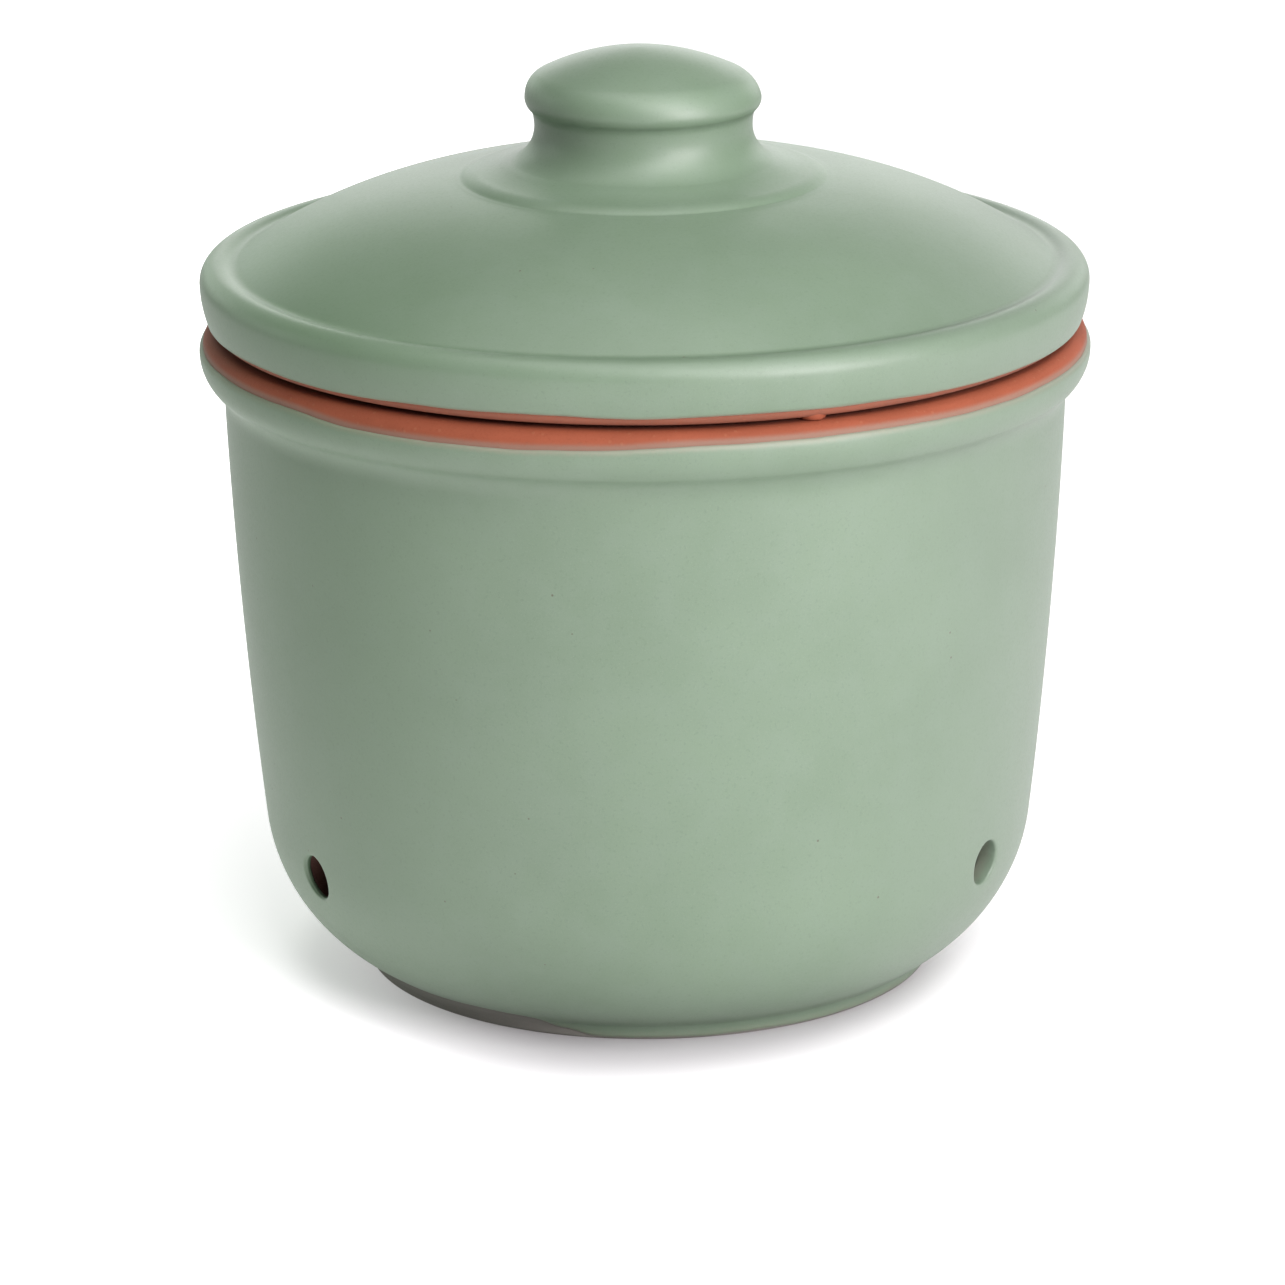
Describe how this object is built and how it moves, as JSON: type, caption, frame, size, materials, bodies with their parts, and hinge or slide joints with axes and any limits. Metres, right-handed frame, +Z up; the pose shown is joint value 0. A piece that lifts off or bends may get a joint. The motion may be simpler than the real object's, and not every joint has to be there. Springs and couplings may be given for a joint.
{
  "type": "garlic keeper",
  "caption": "Round glazed terracotta keeper with vent holes low in its wall and a loose domed lid with a knob, for storing garlic.",
  "frame": {"origin": "on the axis of the pot, in the plane that its foot stands on", "axes": "+Z up along the axis of the pot and the way the lid lifts, -Y towards the viewer with no vent, +X to the viewer's right"},
  "size_m": [0.15, 0.15, 0.1576],
  "materials": {
    "terracotta": "matte, bare fired earthenware, slightly sandy",
    "sage_glaze": "satin sage green glaze, thinner and browner at its edges"
  },
  "bodies": {
    "pot": {"pot_body": "terracotta", "pot_glaze": "sage_glaze"},
    "lid": {"lid_body": "terracotta", "lid_glaze": "sage_glaze"}
  },
  "joints": [
    {"name": "lid_lift", "type": "slide", "parent": "pot", "child": "lid", "axis": [0, 0, 1], "range_m": [0, 0.12]}
  ]
}
